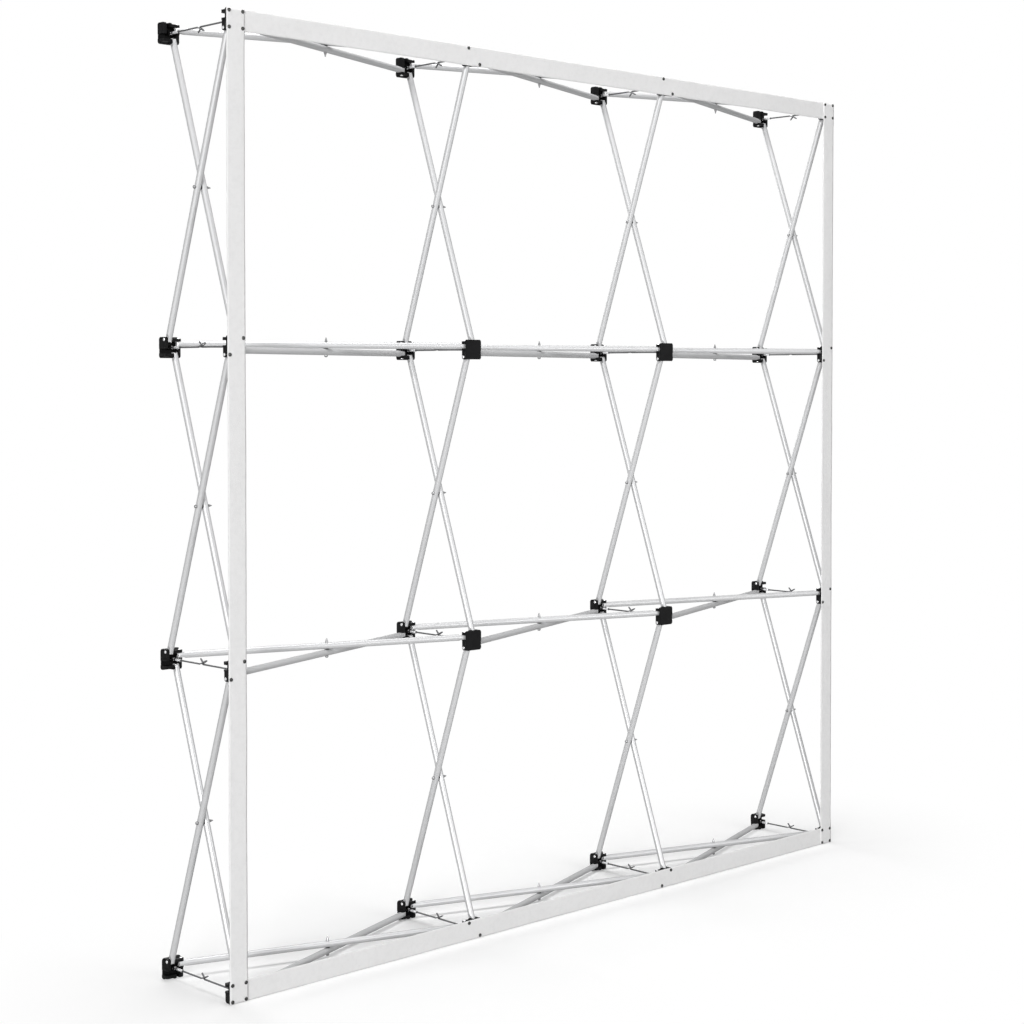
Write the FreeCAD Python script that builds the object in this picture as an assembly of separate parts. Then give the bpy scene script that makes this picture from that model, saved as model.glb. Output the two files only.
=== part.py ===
import FreeCAD
import Part
import math
import os

# Straight banner wall: a folding frame of crossed aluminium tubes on plastic hubs, set up and locked.
# The wall's width runs along X, its depth along Y with the front towards -Y, and its height along Z.
# The origin is on the floor at the middle of the width and of the whole depth. Lengths are in millimetres.

# The grid of hubs
column_count = 4
row_count = 4
hub_pitch = 740.0
frame_depth = 272.0

# A hub: a square plate with slots behind it for the tube ends
hub_side = 50.0
hub_corner_radius = 4.0
hub_edge_chamfer = 1.0
plate_thickness = 5.0
rivet_reach = 18.8
rivet_depth = 16.0
slot_clearance = 0.25
inner_ear_thickness = 4.0
outer_ear_thickness = 7.0
ear_depth = 22.0
ear_round = 6.0
flare_depth = 11.5
lug_gap = 5.8
lug_thickness = 3.0
lug_radius = 5.0

# The scissor tubes, with their ends pressed flat
tube_diameter = 16.0
tube_wall = 1.0
tongue_thickness = 11.0
tongue_straight = 8.0
tongue_taper = 8.0

# The rivets at the hubs and where the tubes cross
hub_rivet_diameter = 5.0
hub_rivet_head_diameter = 7.6
hub_rivet_head_height = 1.6
cross_rivet_diameter = 5.0
cross_rivet_head_diameter = 9.0
cross_rivet_head_height = 5.0
cross_cap_diameter = 8.6
cross_cap_tip_diameter = 2.2
cross_cap_length = 11.0
cross_washer_diameter = 12.0
cross_washer_thickness = 0.6
head_round_share = 0.7

# The lock arms between the front and back hubs
lock_pin_diameter = 4.0
lock_running_clearance = 0.05
lock_side_clearance = 0.2
eyelet_radius = 4.4
sleeve_diameter = 6.6
sleeve_waist_diameter = 5.4
eye_sleeve_length = 34.0
hook_sleeve_length = 17.0
sleeve_plain_length = 8.0
sleeve_rib_pitch = 4.0
sleeve_rib_width = 2.2
sleeve_socket_depth = 7.0
rod_diameter = 4.2
hook_bend_radius = 3.8
hook_rise = 5.6
hook_tip_length = 9.0
hook_lean_angle = 45.0
eye_wire_diameter = 2.6
eye_half_width = 4.4
eye_back_reach = 11.0
eye_front_reach = 4.3
eye_rise = 3.8
eye_tab_half_width = 3.4
eye_tab_length = 13.5
eye_tab_angle = 15.0

# The loop-fabric bands round the front, and their screws
band_width = 50.0
band_thickness = 1.5
band_ramp = 30.0
screw_inset = 6.0
screw_diameter = 4.0
screw_bite = 8.0
screw_head_diameter = 9.0
screw_head_height = 2.2

# Extra length of a cutting tool past the faces that it cuts
overrun = 1.0

# Sizes that follow from those above
hub_half = hub_side / 2
tube_radius = tube_diameter / 2
tube_spacing = tube_diameter + cross_washer_thickness
tube_offset = tube_spacing / 2
stack_half = tube_offset + tube_radius
slot_half = tongue_thickness / 2 + slot_clearance
slot_near = tube_offset - slot_half
slot_far = tube_offset + slot_half
ear_near = slot_near - inner_ear_thickness
ear_far = slot_far + outer_ear_thickness
screw_reach = hub_half - screw_inset
lug_outer = lug_gap / 2 + lug_thickness
front_build = 2 * band_thickness + screw_head_height
front_face = -frame_depth / 2 + front_build / 2
back_face = frame_depth / 2 + front_build / 2
middle_depth = (front_face + back_face) / 2
lock_reach = frame_depth / 2 - rivet_depth
first_row_height = hub_half
column_places = [(i - (column_count - 1) / 2) * hub_pitch for i in range(column_count)]
row_places = [first_row_height + j * hub_pitch for j in range(row_count)]

# A hub's four directions, as quarter turns clockwise from up, seen from its outer face
UP, RIGHT, DOWN, LEFT = range(4)
X_AXIS = FreeCAD.Vector(1, 0, 0)
Y_AXIS = FreeCAD.Vector(0, 1, 0)
Z_AXIS = FreeCAD.Vector(0, 0, 1)
HERE = FreeCAD.Vector(0, 0, 0)
angle_tolerance = 1e-6


def point(x, y, z):
    return FreeCAD.Vector(x, y, z)


def block(low, high):
    """A box between two opposite corners."""
    size = high - low
    return Part.makeBox(size.x, size.y, size.z, low)


def rod_along(axis, start, length, diameter):
    return Part.makeCylinder(diameter / 2, length, start, axis)


def quarter_turned(shape, turns):
    """A copy turned clockwise about the hub's own axis, seen from its outer face."""
    turned = shape.copy()
    turned.rotate(HERE, Y_AXIS, 90 * turns)
    return turned


def placed(shape, place, half_turned=False):
    """A copy at a hub's place; a back hub is the front one turned half round."""
    moved = shape.copy()
    turn = FreeCAD.Rotation(Z_AXIS, 180 if half_turned else 0)
    moved.Placement = FreeCAD.Placement(place, turn).multiply(moved.Placement)
    return moved


def front_place(i, j):
    return point(column_places[i], front_face, row_places[j])


def back_place(i, j):
    return point(column_places[i], back_face, row_places[j])


def upright_lug(x_low, x_high, z_middle, radius):
    """A lug on the plate, across X, with a round end about a pin."""
    thickness = x_high - x_low
    stem = block(point(x_low, 0, z_middle - radius), point(x_high, rivet_depth, z_middle + radius))
    end = rod_along(X_AXIS, point(x_low, rivet_depth, z_middle), thickness, 2 * radius)
    return stem.fuse(end)


def edges_along(shape, axis):
    """The straight edges that run along an axis."""
    found = []
    for edge in shape.Edges:
        straight = edge.Curve.TypeId == "Part::GeomLine"
        if straight and edge.Curve.Direction.cross(axis).Length < angle_tolerance:
            found.append(edge)
    return found


def make_plate():
    plate = block(point(-hub_half, 0, -hub_half), point(hub_half, plate_thickness, hub_half))
    plate = plate.makeFillet(hub_corner_radius, edges_along(plate, Y_AXIS))
    outer = [edge for edge in plate.Edges if edge.BoundBox.YMax < hub_edge_chamfer]
    return plate.makeChamfer(hub_edge_chamfer, outer)


def upright_ear(x_low, x_high, z_low):
    """An ear on the plate, across X, that runs up to the hub's edge and is round at its free corner."""
    ear = block(point(x_low, 0, z_low), point(x_high, ear_depth, hub_half))
    corner = [
        edge for edge in edges_along(ear, X_AXIS)
        if edge.BoundBox.YMin > plate_thickness and edge.BoundBox.ZMin > z_low + ear_round
    ]
    return ear.makeFillet(ear_round, corner)


def make_flare():
    """The slope that thickens an outer ear towards the plate."""
    top = hub_half - hub_corner_radius
    corners = [
        point(ear_far, 0, -ear_near), point(hub_half, 0, -ear_near),
        point(hub_half, plate_thickness, -ear_near), point(ear_far, flare_depth, -ear_near),
    ]
    face = Part.Face(Part.makePolygon(corners + corners[:1]))
    return face.extrude(Z_AXIS * (top + ear_near))


def make_slot_ears():
    """The two ears of the slot above the hub's centre; each one joins an ear of a neighbouring slot."""
    outer = upright_ear(slot_far, ear_far, -slot_near)
    inner = upright_ear(ear_near, slot_near, slot_far)
    return [outer, inner, make_flare()]


def make_hub(tube_sides, screw_places):
    """A hub with a slot on each side, rivet holes where it holds a tube, and its other holes."""
    pieces = []
    cuts = []
    rivet_hole = rod_along(X_AXIS, point(ear_near, rivet_depth, rivet_reach), hub_side, hub_rivet_diameter)
    for side in (UP, RIGHT, DOWN, LEFT):
        pieces += [quarter_turned(ear, side) for ear in make_slot_ears()]
        if side in tube_sides:
            cuts.append(quarter_turned(rivet_hole, side))
    for x_low in (-lug_outer, lug_gap / 2):
        pieces.append(upright_lug(x_low, x_low + lug_thickness, 0, lug_radius))
    lock_hole_start = point(-lug_outer - overrun, rivet_depth, 0)
    cuts.append(rod_along(X_AXIS, lock_hole_start, 2 * (lug_outer + overrun), lock_pin_diameter))
    for x, z in screw_places:
        cuts.append(rod_along(Y_AXIS, point(x, -overrun, z), screw_bite + overrun, screw_diameter))
    return make_plate().fuse(pieces).removeSplitter().cut(cuts)


def make_tube(length):
    """A tube along X between two pins that stand along Z, hollow, with both ends pressed flat."""
    reach = length + 2 * tube_radius
    outer = rod_along(X_AXIS, point(-tube_radius, 0, 0), reach, tube_diameter)
    bore_start = point(-tube_radius - overrun, 0, 0)
    bore = rod_along(X_AXIS, bore_start, reach + 2 * overrun, tube_diameter - 2 * tube_wall)
    outer = outer.cut(make_flats(length, tongue_thickness / 2, tube_radius))
    bore = bore.cut(make_flats(length, tongue_thickness / 2 - tube_wall, tube_radius - tube_wall))
    tube = outer.cut(bore)
    for end, way in ((0, -1), (length, 1)):
        corner = point(min(end, end + way * tube_diameter), -tube_diameter, -tube_diameter)
        tip = Part.makeBox(tube_diameter, 2 * tube_diameter, 2 * tube_diameter, corner)
        tip = tip.cut(rod_along(Z_AXIS, point(end, 0, -tube_diameter), 2 * tube_diameter, tube_diameter))
        tube = tube.cut(tip)
    holes = []
    hole_sizes = ((0, hub_rivet_diameter), (length / 2, cross_rivet_diameter), (length, hub_rivet_diameter))
    for place, diameter in hole_sizes:
        holes.append(rod_along(Z_AXIS, point(place, 0, -tube_diameter), 2 * tube_diameter, diameter))
    return tube.cut(holes)


def make_flats(length, flat_half, round_half):
    """The four wedges whose removal flattens the two ends of a round bar."""
    wedges = []
    past = tube_radius + overrun
    for end, way in ((0, 1), (length, -1)):
        taper_start = end + way * tongue_straight
        taper_end = taper_start + way * tongue_taper * (1 + overrun / (tube_radius - tongue_thickness / 2))
        for up in (1, -1):
            corners = [
                point(end - way * past - way * overrun, -past, up * flat_half),
                point(taper_start, -past, up * flat_half),
                point(taper_end, -past, up * (round_half + overrun)),
                point(end - way * past - way * overrun, -past, up * (round_half + overrun)),
            ]
            face = Part.Face(Part.makePolygon(corners + corners[:1]))
            wedges.append(face.extrude(point(0, 2 * past, 0)))
    return wedges


def make_cross_rivet():
    """A rivet along X through a crossed pair: a domed head on its left end, a pointed cap on the right."""
    left, right = point(-stack_half, 0, 0), point(stack_half, 0, 0)
    pin = rod_along(X_AXIS, left, 2 * stack_half, cross_rivet_diameter)
    head = domed_head(left, -X_AXIS, cross_rivet_head_diameter, cross_rivet_head_height)
    cap = Part.makeCone(cross_cap_diameter / 2, cross_cap_tip_diameter / 2, cross_cap_length, right, X_AXIS)
    return pin.fuse([head, cap])


def domed_head(foot, way, diameter, height):
    head = Part.makeCylinder(diameter / 2, height, foot, way)
    top = foot + way * height
    circles = [edge for edge in head.Edges if edge.Curve.TypeId == "Part::GeomCircle"]
    rim = [edge for edge in circles if (edge.CenterOfMass - top).Length < height / 2]
    return head.makeFillet(height * head_round_share, rim)


def between(tube, start, end, pin_axis):
    """A tube laid between two pins, with its own pins along the given axis."""
    along = (end - start).normalize()
    across = pin_axis.cross(along)
    laid = tube.copy()
    laid.Placement = FreeCAD.Placement(start, FreeCAD.Rotation(along, across, pin_axis, "XZY"))
    return laid


def make_sleeve(length):
    """A lock arm's sleeve along Y, ribbed, with an eyelet at the pin and a socket for the rod."""
    width = lug_gap - 2 * lock_side_clearance
    eyelet = rod_along(X_AXIS, point(-width / 2, 0, 0), width, 2 * eyelet_radius)
    stem = rod_along(Y_AXIS, HERE, length, sleeve_waist_diameter)
    ribs = []
    rib_count = int((length - sleeve_plain_length - sleeve_rib_width) / sleeve_rib_pitch) + 1
    for k in range(rib_count):
        start = length - sleeve_rib_width - k * sleeve_rib_pitch
        ribs.append(rod_along(Y_AXIS, point(0, start, 0), sleeve_rib_width, sleeve_diameter))
    sleeve = eyelet.fuse([stem] + ribs)
    bore = rod_along(X_AXIS, point(-hub_half, 0, 0), hub_side, lock_pin_diameter + 2 * lock_running_clearance)
    socket_start = point(0, length - sleeve_socket_depth, 0)
    socket = rod_along(Y_AXIS, socket_start, sleeve_socket_depth + overrun, rod_diameter)
    return sleeve.cut([bore, socket])


def make_hook_rod():
    """The hook arm's rod along Y, turned up at the middle of the frame, its tip leaning on over."""
    start = point(0, hook_sleeve_length - sleeve_socket_depth, 0)
    bend_start = point(0, lock_reach - hook_bend_radius, 0)
    bend_end = point(0, lock_reach, hook_bend_radius)
    top = point(0, lock_reach, hook_rise)
    slant = hook_bend_radius * math.sqrt(2) / 2
    bend_middle = point(0, bend_start.y + slant, hook_bend_radius - slant)
    path = Part.Wire([
        Part.LineSegment(start, bend_start).toShape(),
        Part.Arc(bend_start, bend_middle, bend_end).toShape(),
        Part.LineSegment(bend_end, top).toShape(),
    ])
    section = Part.Wire(Part.makeCircle(rod_diameter / 2, start, Y_AXIS))
    lean = math.radians(hook_lean_angle)
    way = point(0, math.sin(lean), math.cos(lean))
    tip = rod_along(way, top, hook_tip_length, rod_diameter)
    ends = [Part.makeSphere(rod_diameter / 2, place) for place in (top, top + way * hook_tip_length)]
    return path.makePipeShell([section], True, False).fuse([tip] + ends).removeSplitter()


def make_eye_rod():
    """The eye arm's rod along Y; the far end of its closed wire eye lies in the hook and has a finger tab."""
    start = eye_sleeve_length - sleeve_socket_depth
    eye_start = lock_reach - eye_back_reach
    rod = rod_along(Y_AXIS, point(0, start, 0), eye_start - start, rod_diameter)
    eye_run = eye_back_reach + eye_front_reach
    eye_length = math.hypot(eye_run, eye_rise)
    straight = eye_length - 2 * eye_half_width
    wire_radius = eye_wire_diameter / 2
    near = point(0, eye_half_width, 0)
    far = point(0, eye_half_width + straight, 0)
    lift = math.radians(eye_tab_angle)
    tab_way = point(0, math.cos(lift), math.sin(lift))
    tab_root = far.y + math.sqrt(eye_half_width ** 2 - eye_tab_half_width ** 2)
    tab_straight = eye_tab_length - eye_tab_half_width
    tab_ring = Part.makeTorus(eye_tab_half_width, wire_radius, HERE, Z_AXIS, 0, 360, 180)
    tab_ring.rotate(HERE, X_AXIS, eye_tab_angle)
    tab_ring.translate(point(0, tab_root, 0) + tab_way * tab_straight)
    pieces = [tab_ring]
    for centre, turn in ((near, 180), (far, 0)):
        half_ring = Part.makeTorus(eye_half_width, wire_radius, HERE, Z_AXIS, 0, 360, 180)
        half_ring.rotate(HERE, Z_AXIS, turn)
        half_ring.translate(centre)
        pieces.append(half_ring)
    for side in (-1, 1):
        root = point(side * eye_tab_half_width, tab_root, 0)
        pieces.append(rod_along(Y_AXIS, point(side * eye_half_width, near.y, 0), straight, eye_wire_diameter))
        pieces.append(rod_along(tab_way, root, tab_straight, eye_wire_diameter))
        pieces.append(Part.makeSphere(wire_radius, root))
    eye = pieces[0].fuse(pieces[1:])
    eye.rotate(HERE, X_AXIS, math.degrees(math.atan2(eye_rise, eye_run)))
    eye.translate(point(0, eye_start, 0))
    return rod.fuse(eye).removeSplitter()


def lock_arm(sleeve, rod, row):
    """An arm on its pin; in the top row the eye and hook point down instead of up."""
    arm = Part.makeCompound([sleeve, rod])
    if row == row_count - 1:
        arm.rotate(HERE, Y_AXIS, 180)
    arm.translate(point(0, rivet_depth, 0))
    return arm


def screw_corners(i, j):
    """Where a hub's band screws stand, as the signs of their x and z seen from the front."""
    on_side = i in (0, column_count - 1)
    on_end = j in (0, row_count - 1)
    rising = [(-1, -1), (1, 1)]
    falling = [(-1, 1), (1, -1)]
    if on_side and on_end:
        return rising + falling
    if on_side:
        return rising
    if on_end:
        return rising if j == 0 and i == column_count - 2 else falling
    return []


def screw_places(i, j):
    return [(sx * screw_reach, sz * screw_reach) for sx, sz in screw_corners(i, j)]


def tube_sides_of(i, j):
    """The sides of a front hub that hold tubes."""
    sides = {UP: j < row_count - 1, DOWN: j > 0, RIGHT: i < column_count - 1, LEFT: i > 0}
    return [side for side, used in sides.items() if used]


def mirrored_sides(sides):
    """The same sides as a back hub sees them, facing the other way."""
    swap = {UP: UP, DOWN: DOWN, LEFT: RIGHT, RIGHT: LEFT}
    return [swap[side] for side in sides]


def make_level_band(z_middle):
    x_end = column_places[-1] + band_width / 2
    low = point(-x_end, front_face - band_thickness, z_middle - band_width / 2)
    return block(low, point(x_end, front_face, z_middle + band_width / 2))


def make_upright_band(x_middle):
    """An upright band, which steps forward over the level bands at its two ends."""
    low = row_places[0] - band_width / 2
    high = row_places[-1] + band_width / 2
    raised = front_face - band_thickness
    outline = [
        (raised, low), (raised, low + band_width),
        (front_face, low + band_width + band_ramp), (front_face, high - band_width - band_ramp),
        (raised, high - band_width), (raised, high),
    ]
    back_line = [point(x_middle - band_width / 2, y, z) for y, z in outline]
    front_line = [corner - Y_AXIS * band_thickness for corner in reversed(back_line)]
    corners = back_line + front_line
    face = Part.Face(Part.makePolygon(corners + corners[:1]))
    return face.extrude(X_AXIS * band_width)


def screw_seat(i, j):
    """The band face under a screw's head."""
    layers = 2 if i in (0, column_count - 1) and j in (0, row_count - 1) else 1
    return front_face - layers * band_thickness


def band_screw(i, j, x, z):
    seat = screw_seat(i, j)
    foot = point(column_places[i] + x, seat, row_places[j] + z)
    shank = rod_along(Y_AXIS, foot, front_face + screw_bite - seat, screw_diameter)
    return shank.fuse(domed_head(foot, -Y_AXIS, screw_head_diameter, screw_head_height))


def save(name, shapes):
    solids = [solid for shape in shapes for solid in shape.Solids]
    whole = solids[0] if len(solids) == 1 else Part.makeCompound(solids)
    if not whole.isValid():
        raise ValueError(name + " is not a valid shape")
    whole.exportStep(os.path.join("parts", name + ".step"))


os.makedirs("parts", exist_ok=True)
grid = [(i, j) for j in range(row_count) for i in range(column_count)]

# Hubs, a row at a time
for j in range(row_count):
    front_hubs = []
    back_hubs = []
    for i in range(column_count):
        sides = tube_sides_of(i, j)
        front_hubs.append(placed(make_hub(sides, screw_places(i, j)), front_place(i, j)))
        back_hubs.append(placed(make_hub(mirrored_sides(sides), []), back_place(i, j), True))
    save(f"front_hubs_row_{j + 1}", front_hubs)
    save(f"back_hubs_row_{j + 1}", back_hubs)

# Tubes: each pair runs between two neighbouring hubs, front to back and back to front
pin_run = hub_pitch - 2 * rivet_reach
pin_fall = frame_depth - 2 * rivet_depth
tube = make_tube(math.hypot(pin_run, pin_fall))
front_pins = front_face + rivet_depth
back_pins = back_face - rivet_depth
for j, z in enumerate(row_places):
    level_tubes = []
    for i in range(column_count - 1):
        x_start = column_places[i] + rivet_reach
        x_end = column_places[i + 1] - rivet_reach
        low, high = z - tube_offset, z + tube_offset
        level_tubes.append(between(
            tube, point(x_start, front_pins, low), point(x_end, back_pins, low), Z_AXIS))
        level_tubes.append(between(
            tube, point(x_start, back_pins, high), point(x_end, front_pins, high), Z_AXIS))
    save(f"row_{j + 1}_tubes", level_tubes)
for i, x in enumerate(column_places):
    upright_tubes = []
    for j in range(row_count - 1):
        z_start = row_places[j] + rivet_reach
        z_end = row_places[j + 1] - rivet_reach
        left, right = x - tube_offset, x + tube_offset
        upright_tubes.append(between(
            tube, point(right, front_pins, z_start), point(right, back_pins, z_end), X_AXIS))
        upright_tubes.append(between(
            tube, point(left, back_pins, z_start), point(left, front_pins, z_end), X_AXIS))
    save(f"column_{i + 1}_tubes", upright_tubes)

# Rivets that hold the tube ends in the hubs, each with its head on an outer ear
hub_rivet = rod_along(X_AXIS, point(ear_near, 0, 0), ear_far - ear_near, hub_rivet_diameter)
hub_rivet = hub_rivet.fuse(
    domed_head(point(ear_far, 0, 0), X_AXIS, hub_rivet_head_diameter, hub_rivet_head_height))
hub_rivet.translate(point(0, rivet_depth, rivet_reach))
front_rivets = []
back_rivets = []
for i, j in grid:
    sides = tube_sides_of(i, j)
    for side in sides:
        front_rivets.append(placed(quarter_turned(hub_rivet, side), front_place(i, j)))
    for side in mirrored_sides(sides):
        back_rivets.append(placed(quarter_turned(hub_rivet, side), back_place(i, j), True))
save("front_hub_rivets", front_rivets)
save("back_hub_rivets", back_rivets)

# Rivets and washers where the tubes of a pair cross
cross_rivet = make_cross_rivet()
washer_start = point(-cross_washer_thickness / 2, 0, 0)
washer = rod_along(X_AXIS, washer_start, cross_washer_thickness, cross_washer_diameter)
washer = washer.cut(rod_along(X_AXIS, point(-tube_diameter, 0, 0), 2 * tube_diameter, cross_rivet_diameter))
level_rivets = []
upright_rivets = []
washers = []
for i, j in grid:
    if i < column_count - 1:
        centre = point(column_places[i] + hub_pitch / 2, middle_depth, row_places[j])
        turns = 1 if j == row_count - 1 else 3  # the caps point up, but down in the top row
        level_rivets.append(placed(quarter_turned(cross_rivet, turns), centre))
        washers.append(placed(quarter_turned(washer, 1), centre))
    if j < row_count - 1:
        centre = point(column_places[i], middle_depth, row_places[j] + hub_pitch / 2)
        upright_rivets.append(placed(cross_rivet, centre))
        washers.append(placed(washer, centre))
save("row_cross_rivets", level_rivets)
save("column_cross_rivets", upright_rivets)
save("cross_washers", washers)

# Lock arms and the pins that they swing on
eye_sleeve = make_sleeve(eye_sleeve_length)
hook_sleeve = make_sleeve(hook_sleeve_length)
eye_rod = make_eye_rod()
hook_rod = make_hook_rod()
lock_pin = rod_along(X_AXIS, point(-lug_outer, rivet_depth, 0), 2 * lug_outer, lock_pin_diameter)
lock_pins = []
for i, j in grid:
    lock_pins.append(placed(lock_pin, front_place(i, j)))
    lock_pins.append(placed(lock_pin, back_place(i, j), True))
    save(f"eye_arm_{i + 1}_{j + 1}", [placed(lock_arm(eye_sleeve, eye_rod, j), back_place(i, j), True)])
    save(f"hook_arm_{i + 1}_{j + 1}", [placed(lock_arm(hook_sleeve, hook_rod, j), front_place(i, j))])
save("lock_pins", lock_pins)

# Bands and their screws
bands = {
    "left_band": make_upright_band(column_places[0]),
    "right_band": make_upright_band(column_places[-1]),
    "bottom_band": make_level_band(row_places[0]),
    "top_band": make_level_band(row_places[-1]),
}
screws = []
for i, j in grid:
    for x, z in screw_places(i, j):
        screws.append(band_screw(i, j, x, z))
screw_holes = []
for i, j in grid:
    for x, z in screw_places(i, j):
        hole_start = point(column_places[i] + x, front_face - front_build - overrun, row_places[j] + z)
        screw_holes.append(rod_along(Y_AXIS, hole_start, front_build + 2 * overrun, screw_diameter))
for name, band in bands.items():
    save(name, [band.cut(screw_holes)])
save("band_screws", screws)
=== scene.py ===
import math
import bmesh
import bpy
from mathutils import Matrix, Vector, noise


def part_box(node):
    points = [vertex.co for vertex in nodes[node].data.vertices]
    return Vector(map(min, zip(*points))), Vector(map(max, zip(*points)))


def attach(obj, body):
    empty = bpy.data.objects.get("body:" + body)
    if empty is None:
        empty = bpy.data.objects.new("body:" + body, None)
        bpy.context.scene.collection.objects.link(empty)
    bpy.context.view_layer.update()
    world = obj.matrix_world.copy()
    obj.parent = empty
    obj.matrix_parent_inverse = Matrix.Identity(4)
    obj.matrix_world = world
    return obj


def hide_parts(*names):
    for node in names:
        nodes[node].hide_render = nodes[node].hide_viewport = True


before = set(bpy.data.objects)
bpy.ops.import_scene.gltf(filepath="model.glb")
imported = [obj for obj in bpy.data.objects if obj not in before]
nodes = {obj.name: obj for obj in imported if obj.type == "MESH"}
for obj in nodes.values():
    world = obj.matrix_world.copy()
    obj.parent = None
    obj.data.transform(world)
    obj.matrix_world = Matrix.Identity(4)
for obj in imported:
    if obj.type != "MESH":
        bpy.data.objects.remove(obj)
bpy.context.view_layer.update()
scene = bpy.context.scene
print("frame loaded with", len(nodes), "nodes")


class Wire:
    # one socket of a node tree; sums on it add Math nodes
    def __init__(self, tree, socket=None):
        self.tree = tree
        self.socket = socket

    def node(self, kind, settings=None, values=None, out=0):
        made = self.tree.nodes.new(kind)
        for name, value in (settings or {}).items():
            setattr(made, name, value)
        for name, value in (values or {}).items():
            if isinstance(value, Wire):
                self.tree.links.new(value.socket, made.inputs[name])
            else:
                made.inputs[name].default_value = value
        return Wire(self.tree, made.outputs[out] if made.outputs else None)

    def also(self, out):  # another output of the same node
        return Wire(self.tree, self.socket.node.outputs[out])

    def maths(self, operation, first, second):
        return self.node("ShaderNodeMath", {"operation": operation}, {0: first, 1: second})

    def __add__(self, other):
        return self.maths("ADD", self, other)

    def __mul__(self, other):
        return self.maths("MULTIPLY", self, other)

    def above(self, edge):
        return self.maths("GREATER_THAN", self, edge)

    def below(self, edge):
        return self.maths("LESS_THAN", self, edge)

    __radd__ = __add__


def newFinish(name):
    finish = bpy.data.materials.new(name)
    finish.use_nodes = True
    finish.node_tree.nodes.clear()
    return finish, Wire(finish.node_tree)


def grey(value):
    return (value, value, value, 1)


seedShift = (1.0, 0.7, 1.3)  # how far a seed moves a noise along each axis


def cloud(w, place, size, detail, seed=0.0):  # soft noise, 0 to 1, with spots of about that size
    shift = tuple(seed * share for share in seedShift)
    moved = w.node("ShaderNodeMapping", {}, {"Vector": place, "Location": shift})
    return w.node("ShaderNodeTexNoise", {}, {"Vector": moved, "Scale": 1.0 / size, "Detail": detail})


def ramp(w, value, low, high, top=1.0):
    return w.node("ShaderNodeMapRange", {"interpolation_type": "SMOOTHSTEP"},
                  {"Value": value, "From Min": low, "From Max": high, "To Max": top})


def tint(w, amount, first, second):  # a colour between two
    return w.node("ShaderNodeMix", {"data_type": "RGBA"}, {0: amount, 6: first, 7: second}, out=2)


def bump(w, height, look):
    return w.node("ShaderNodeBump", {},
                  {"Height": height, "Distance": look["relief"], "Strength": look["reliefStrength"]})


def surface(w, values):
    shader = w.node("ShaderNodeBsdfPrincipled", {}, values)
    w.node("ShaderNodeOutputMaterial", {}, {"Surface": shader})


hubLook = {"dark": (0.0040, 0.0040, 0.0043, 1), "worn": (0.0090, 0.0090, 0.0095, 1), "grain": 0.0009}
washerLook = {"dark": (0.016, 0.016, 0.017, 1), "worn": (0.035, 0.035, 0.036, 1), "grain": 0.0006}
plasticLook = {"patch": 0.022, "patchWear": 0.55, "rub": 0.006, "rubWear": 0.45, "roughness": 0.50,
               "grainRoughness": 0.12, "rubRoughness": -0.10, "relief": 0.00012, "reliefStrength": 0.55,
               "specular": 0.09}


def mouldedPlastic(name, look):
    finish, w = newFinish(name)
    place = w.node("ShaderNodeTexCoord", out="Object")
    grain = cloud(w, place, look["grain"], detail=2.0)
    patch = cloud(w, place, plasticLook["patch"], detail=3.0, seed=4.0)
    marks = cloud(w, place, plasticLook["rub"], detail=5.0, seed=9.0)
    rub = ramp(w, marks, low=0.60, high=0.78)  # where hands have rubbed it
    wear = ramp(w, patch, low=0.3, high=0.7, top=plasticLook["patchWear"]) + rub * plasticLook["rubWear"]
    roughness = plasticLook["roughness"] + grain * plasticLook["grainRoughness"]
    roughness += rub * plasticLook["rubRoughness"]
    surface(w, {"Base Color": tint(w, wear, look["dark"], look["worn"]), "Roughness": roughness,
                "Normal": bump(w, grain, plasticLook), "Specular IOR Level": plasticLook["specular"]})
    return finish


# the near-black edge tint is painted shade: it darkens the tubes' reflection towards their outline
tubeLook = {"light": (0.59, 0.592, 0.598, 1), "shade": (0.50, 0.503, 0.51, 1), "edge": grey(0.02),
            "metal": 0.38, "specular": 0.05, "roughness": 0.38, "lineRoughness": 0.08, "smearRoughness": 0.06,
            "linesPerMetre": 1500.0, "lineShade": 0.35, "patch": 0.09, "patchShade": 0.25, "smear": 0.018,
            "relief": 0.00002, "reliefStrength": 0.2}


def tubeAluminium(name, side):
    # the drawn lines run along a tube, so they vary with the height on a row's tube and with X on a column's
    finish, w = newFinish(name)
    place = w.node("ShaderNodeTexCoord", out="Object")
    across = w.node("ShaderNodeSeparateXYZ", {}, {"Vector": place}, out=side)
    drawn = w.node("ShaderNodeTexNoise", {"noise_dimensions": "1D"},
                   {"W": across, "Scale": tubeLook["linesPerMetre"], "Detail": 3.0, "Roughness": 0.65})
    patch = cloud(w, place, tubeLook["patch"], detail=3.0, seed=2.0)
    smear = ramp(w, cloud(w, place, tubeLook["smear"], detail=4.0, seed=7.0), low=0.55, high=0.75)
    shade = ramp(w, drawn, low=0.35, high=0.68) * tubeLook["lineShade"] + patch * tubeLook["patchShade"]
    roughness = tubeLook["roughness"] + drawn * tubeLook["lineRoughness"] + smear * tubeLook["smearRoughness"]
    # Specular Tint takes that edge tint, so the tube's outline carries painted shade
    surface(w, {"Base Color": tint(w, shade, tubeLook["light"], tubeLook["shade"]),
                "Metallic": tubeLook["metal"], "Roughness": roughness, "Normal": bump(w, drawn, tubeLook),
                "Specular IOR Level": tubeLook["specular"], "Specular Tint": tubeLook["edge"]})
    return finish


metalLook = {"darkShare": 0.72, "spotRoughness": 0.12, "relief": 0.00005, "reliefStrength": 0.4}


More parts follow.
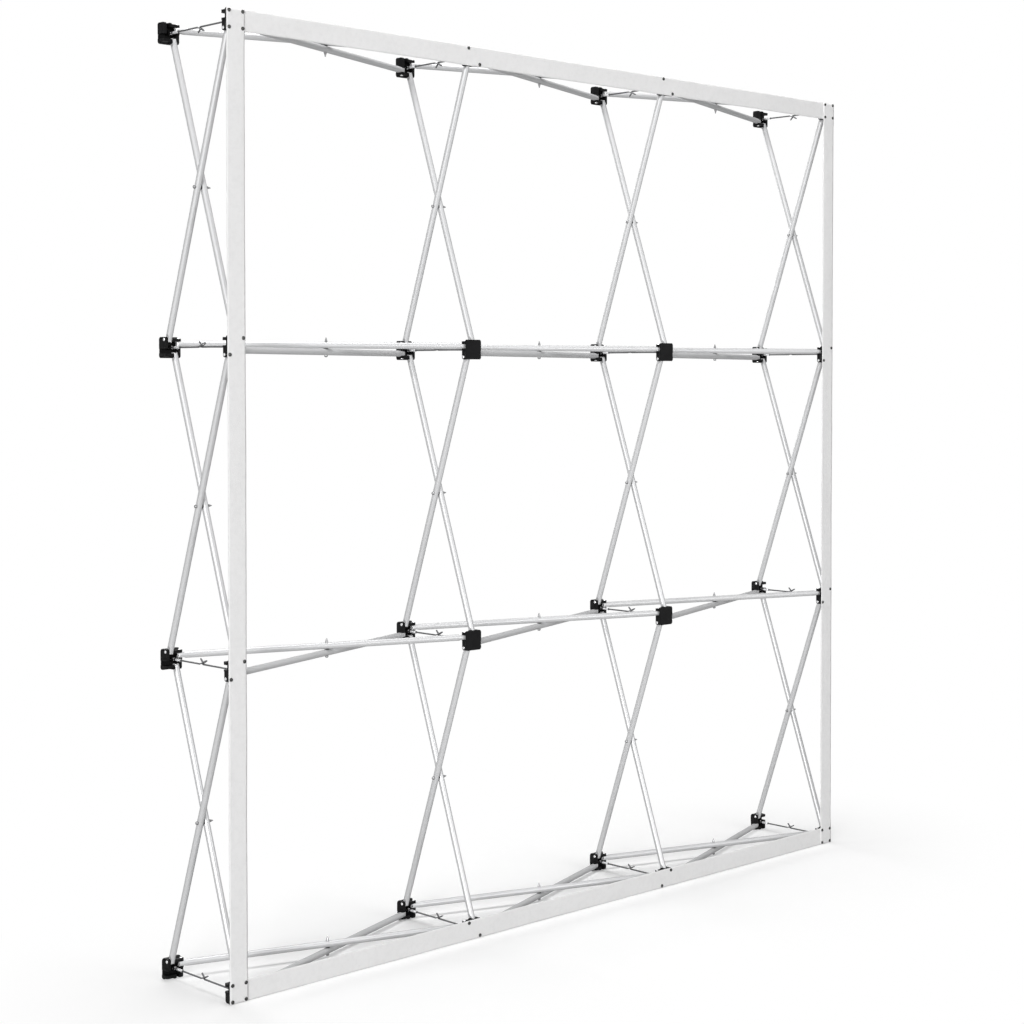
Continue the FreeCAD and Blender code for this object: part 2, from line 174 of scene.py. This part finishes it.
def brightMetal(name, colour, roughness, spot=0.004):
    finish, w = newFinish(name)
    place = w.node("ShaderNodeTexCoord", out="Object")
    patch = cloud(w, place, spot, detail=3.0)
    darker = tuple(metalLook["darkShare"] * channel for channel in colour[:3]) + (1,)
    surface(w, {"Base Color": tint(w, ramp(w, patch, low=0.35, high=0.72), colour, darker), "Metallic": 1.0,
                "Roughness": roughness + patch * metalLook["spotRoughness"],
                "Normal": bump(w, patch, metalLook)})
    return finish


armLook = {"sleeve": (0.84, 0.84, 0.85, 1), "rod": (0.12, 0.121, 0.125, 1), "rodSpot": (0.15, 0.15, 0.155, 1),
           "eyeSleeveFrom": 0.0886, "hookSleeveTo": -0.1004, "spot": 0.003, "roughness": 0.40,
           "spotRoughness": 0.12, "sleeveRoughness": -0.17, "relief": 0.00004, "reliefStrength": 0.4}


def armSteel(name, isEye):
    # the ridged sleeve by the hub is bright, the rod beyond it dark
    finish, w = newFinish(name)
    place = w.node("ShaderNodeTexCoord", out="Object")
    depth = w.node("ShaderNodeSeparateXYZ", {}, {"Vector": place}, out="Y")
    sleeve = depth.above(armLook["eyeSleeveFrom"]) if isEye else depth.below(armLook["hookSleeveTo"])
    patch = cloud(w, place, armLook["spot"], detail=3.0)
    rod = tint(w, ramp(w, patch, low=0.4, high=0.8), armLook["rod"], armLook["rodSpot"])
    roughness = armLook["roughness"] + patch * armLook["spotRoughness"] + sleeve * armLook["sleeveRoughness"]
    surface(w, {"Base Color": tint(w, sleeve, rod, armLook["sleeve"]), "Metallic": 1.0,
                "Roughness": roughness, "Normal": bump(w, patch, armLook)})
    return finish


fabricLook = {"pale": (0.81, 0.807, 0.807, 1), "thin": (0.75, 0.747, 0.747, 1), "loop": 0.0008,
              "fluff": 0.0022, "patch": 0.011, "broad": 0.16, "fluffThin": 0.25, "patchThin": 0.42,
              "broadThin": 0.18, "loopHeight": -0.5, "fluffHeight": 0.7, "patchHeight": 0.6,
              "relief": 0.0007, "reliefStrength": 0.75, "roughness": 0.86, "fluffRoughness": 0.1,
              "sheen": 0.22, "sheenRoughness": 0.6, "specular": 0.2}


def loopFabric():
    finish, w = newFinish("loopFabric")
    place = w.node("ShaderNodeTexCoord", out="Object")
    loops = w.node("ShaderNodeTexVoronoi", {}, {"Vector": place, "Scale": 1.0 / fabricLook["loop"]})
    fluff = cloud(w, place, fabricLook["fluff"], detail=4.0, seed=3.0)
    patch = cloud(w, place, fabricLook["patch"], detail=3.0, seed=6.0)
    broad = cloud(w, place, fabricLook["broad"], detail=2.0, seed=8.0)
    thin = ramp(w, patch, low=0.40, high=0.72) * fabricLook["patchThin"]
    thin += ramp(w, fluff, low=0.45, high=0.75) * fabricLook["fluffThin"]
    thin += ramp(w, broad, low=0.4, high=0.7) * fabricLook["broadThin"]
    height = fluff * fabricLook["fluffHeight"] + loops * fabricLook["loopHeight"]
    height += patch * fabricLook["patchHeight"]
    surface(w, {"Base Color": tint(w, thin, fabricLook["pale"], fabricLook["thin"]),
                "Roughness": fabricLook["roughness"] + fluff * fabricLook["fluffRoughness"],
                "Normal": bump(w, height, fabricLook), "Specular IOR Level": fabricLook["specular"],
                "Sheen Weight": fabricLook["sheen"], "Sheen Roughness": fabricLook["sheenRoughness"]})
    return finish


black = mouldedPlastic("blackPlastic", hubLook)
rowTube = tubeAluminium("rowTubeAluminium", "Z")
columnTube = tubeAluminium("columnTubeAluminium", "X")
rivetMetal = brightMetal("rivetAluminium", colour=(0.80, 0.80, 0.81, 1), roughness=0.20)
crossMetal = brightMetal("crossRivetSteel", colour=(0.30, 0.30, 0.305, 1), roughness=0.28)
pinMetal = brightMetal("pinSteel", colour=(0.55, 0.55, 0.56, 1), roughness=0.26)
screwMetal = brightMetal("screwSteel", colour=(0.07, 0.07, 0.069, 1), roughness=0.20, spot=0.002)
washerPlastic = mouldedPlastic("washerPlastic", washerLook)
eyeMetal = armSteel("eyeArmSteel", isEye=True)
hookMetal = armSteel("hookArmSteel", isEye=False)
pile = loopFabric()

finishes = {"front_hub_rivets": rivetMetal, "back_hub_rivets": rivetMetal, "row_cross_rivets": crossMetal,
            "column_cross_rivets": crossMetal, "cross_washers": washerPlastic, "lock_pins": pinMetal,
            "band_screws": screwMetal}


def finishFor(name):
    if "_hubs_" in name:
        return black
    if name.endswith("_tubes"):
        return rowTube if name.startswith("row") else columnTube
    if name.startswith("eye_arm"):
        return eyeMetal
    if name.startswith("hook_arm"):
        return hookMetal
    return finishes.get(name, pile)


for name, part in nodes.items():
    for slot in part.material_slots:
        slot.material = finishFor(name)
print("finishes on every CAD node")

bandForm = {"alongStep": 0.006, "acrossCuts": 12, "thickness": 0.0014, "slack": 0.0016, "sway": 0.0012,
            "puff": 0.0003, "hubHold": 0.030, "hubFree": 0.16, "ramp": 0.030, "overlap": 0.050,
            "hubCount": 4, "fineShare": 0.4, "curlShare": 0.6, "firstSeed": 1.1, "seedStep": 3.7}
bandWaves = {  # waves per metre along and across a strip
    "ripple": {"rate": (3.1, 5.0), "seed": 0.0}, "fine": {"rate": (11.0, 14.0), "seed": 5.0},
    "curl": {"rate": (4.3, 0.0), "seed": 9.0}, "puff": {"rate": (60.0, 60.0), "seed": 0.0},
    "sway": {"rate": (2.3, 0.0), "seed": 14.0}}
bandRows = {"bottom": (1,), "top": (4,), "left": (1, 2, 3, 4), "right": (1, 2, 3, 4)}


def easing(value, low, high):
    share = min(1.0, max(0.0, (value - low) / (high - low)))
    return share * share * (3 - 2 * share)


def wave(kind, along, across, seed):
    form = bandWaves[kind]
    alongRate, acrossRate = form["rate"]
    return noise.noise(Vector((along * alongRate, across * acrossRate, seed + form["seed"])))


def fabricBand(side, seed):
    # a strip of loop fabric screwed to the front hubs; it lies flat on them and is a little slack between
    name, nodeName = side + "FabricBand", side + "_band"
    low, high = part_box(nodeName)
    upright = high.z - low.z > high.x - low.x
    length = high.z - low.z if upright else high.x - low.x
    width = high.x - low.x if upright else high.z - low.z
    middle = (low + high) / 2
    gaps = bandForm["hubCount"] - 1  # between the hubs, which are as wide as the strip
    hubPlaces = [(number / gaps - 1 / 2) * (length - width) for number in range(gaps + 1)]
    bm = bmesh.new()
    bmesh.ops.create_grid(bm, x_segments=round(length / bandForm["alongStep"]),
                          y_segments=bandForm["acrossCuts"], size=1.0)
    bmesh.ops.scale(bm, verts=bm.verts, vec=Vector((length / 2, width / 2, 1.0)))
    rest = high.y - bandForm["thickness"] / 2  # the strip's own middle where it lies on the hubs
    for vert in bm.verts:
        along, across = vert.co.x, vert.co.y
        fromHub = min(abs(along - hub) for hub in hubPlaces)
        free = easing(fromHub, bandForm["hubHold"], bandForm["hubFree"])
        ripple = wave("ripple", along, across, seed)
        ripple += bandForm["fineShare"] * wave("fine", along, across, seed)
        curl = (2 * across / width) ** 2 * wave("curl", along, across, seed)
        depth = rest + free * bandForm["slack"] * (ripple + bandForm["curlShare"] * curl)
        depth -= bandForm["puff"] * (1 + wave("puff", along, across, seed)) / 2
        if upright:  # the upright strips lie over the ends of the level ones
            fromEnd = length / 2 - abs(along)
            level = easing(fromEnd, bandForm["overlap"], bandForm["overlap"] + bandForm["ramp"])
            depth -= bandForm["thickness"] * (1 - level)
        sway = free * bandForm["sway"] * wave("sway", along, across, seed)
        if upright:
            vert.co = Vector((middle.x + across + sway, depth, middle.z + along))
        else:
            vert.co = Vector((middle.x + along, depth, middle.z + across + sway))
    bmesh.ops.recalc_face_normals(bm, faces=bm.faces)
    mesh = bpy.data.meshes.new(name)
    bm.to_mesh(mesh)
    bm.free()
    for face in mesh.polygons:
        face.use_smooth = True
    strip = bpy.data.objects.new(name, mesh)
    scene.collection.objects.link(strip)
    wall = strip.modifiers.new("thickness", "SOLIDIFY")
    wall.thickness = bandForm["thickness"]
    wall.offset = 0.0
    mesh.materials.append(pile)
    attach(strip, "frame")
    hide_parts(nodeName)


for number, side in enumerate(bandRows):
    fabricBand(side, bandForm["seedStep"] * number + bandForm["firstSeed"])
print("four fabric bands in place")

lamps = {"keyLamp": {"place": (-12.4, -8.0, 3.1), "target": (0, 0, 1.1), "size": 4.4, "power": 1720.0},
         "fillLamp": {"place": (0.6, -5.2, 2.1), "target": (0.4, 0, 1.1), "size": 2.4, "power": 86.0},
         "backLamp": {"place": (0.8, 5.2, 2.8), "target": (0, 0, 1.1), "size": 2.5, "power": 105.0},
         "topLamp": {"place": (0.0, 0.2, 5.2), "target": (0, 0.1, 0), "size": 2.0, "power": 160.0}}


def lamp(name, form):
    data = bpy.data.lights.new(name, "AREA")
    data.shape = "SQUARE"
    data.size = form["size"]
    data.energy = form["power"]
    light = bpy.data.objects.new(name, data)
    light.location = form["place"]
    aim = Vector(form["target"]) - Vector(form["place"])
    light.rotation_euler = aim.to_track_quat("-Z", "Y").to_euler()
    scene.collection.objects.link(light)


for name, form in lamps.items():
    lamp(name, form)


def seenRays(w):  # rays that show the white studio
    path = w.node("ShaderNodeLightPath", out="Is Camera Ray")
    return w.maths("MINIMUM", path + path.also("Is Glossy Ray") + path.also("Is Transmission Ray"), 1.0)


# the floor is white to the eye and keeps the shadow near the wall; what it throws back at the wall is duller
floorForm = {"reach": 30.0, "squeeze": (0.50, 1.0, 1.0), "near": 0.30, "far": 0.95, "lift": 0.12,
             "matt": grey(0.90), "dull": grey(0.50)}


def studioFloor():
    bm = bmesh.new()
    bmesh.ops.create_grid(bm, x_segments=2, y_segments=2, size=floorForm["reach"])
    mesh = bpy.data.meshes.new("studioFloor")
    bm.to_mesh(mesh)
    bm.free()
    floor = bpy.data.objects.new("studioFloor", mesh)
    scene.collection.objects.link(floor)
    finish, w = newFinish("paleFloor")
    place = w.node("ShaderNodeTexCoord", out="Object")
    flat = w.node("ShaderNodeVectorMath", {"operation": "MULTIPLY"}, {0: place, 1: floorForm["squeeze"]})
    reach = w.node("ShaderNodeVectorMath", {"operation": "LENGTH"}, {0: flat}, out="Value")
    far = ramp(w, reach, floorForm["near"], floorForm["far"])  # an oval round the wall's foot
    seen = seenRays(w)
    matt = w.node("ShaderNodeBsdfDiffuse", {}, {"Color": floorForm["matt"]})
    dull = w.node("ShaderNodeBsdfDiffuse", {}, {"Color": floorForm["dull"]})
    lift = w.node("ShaderNodeEmission", {}, {"Color": grey(1.0), "Strength": floorForm["lift"]})
    white = w.node("ShaderNodeEmission", {}, {"Color": grey(1.0), "Strength": 1.0})
    lifted = w.node("ShaderNodeAddShader", {}, {0: matt, 1: lift})
    near = w.node("ShaderNodeMixShader", {}, {0: seen, 1: dull, 2: lifted})
    whole = w.node("ShaderNodeMixShader", {}, {0: seen * far, 1: near, 2: white})
    w.node("ShaderNodeOutputMaterial", {}, {"Surface": whole})
    mesh.materials.append(finish)


studioFloor()
skyForm = {"lightStrength": 0.06, "seenStrength": 1.0}
scene.world = bpy.data.worlds.new("studio")
scene.world.use_nodes = True
scene.world.node_tree.nodes.clear()
sky = Wire(scene.world.node_tree)
soft = sky.node("ShaderNodeBackground", {}, {"Color": grey(1.0), "Strength": skyForm["lightStrength"]})
white = sky.node("ShaderNodeBackground", {}, {"Color": grey(1.0), "Strength": skyForm["seenStrength"]})
both = sky.node("ShaderNodeMixShader", {}, {0: seenRays(sky), 1: soft, 2: white})
sky.node("ShaderNodeOutputWorld", {}, {"Surface": both})
scene.view_settings.view_transform = "Standard"
print("studio lit")

lens = {"place": (-3.7836, -3.7811, 1.4352), "yaw": 0.7716, "pitch": -0.0259, "focal": 69.19, "sensor": 36.0,
        "shiftY": -0.0820, "clipEnd": 100.0}
eye = bpy.data.cameras.new("photoCamera")
eye.sensor_width = lens["sensor"]
eye.lens = lens["focal"]
eye.shift_y = lens["shiftY"]
eye.clip_end = lens["clipEnd"]
camera = bpy.data.objects.new("photoCamera", eye)
camera.location = lens["place"]
camera.rotation_euler = (math.pi / 2 + lens["pitch"], 0.0, -lens["yaw"])
scene.collection.objects.link(camera)
scene.camera = camera
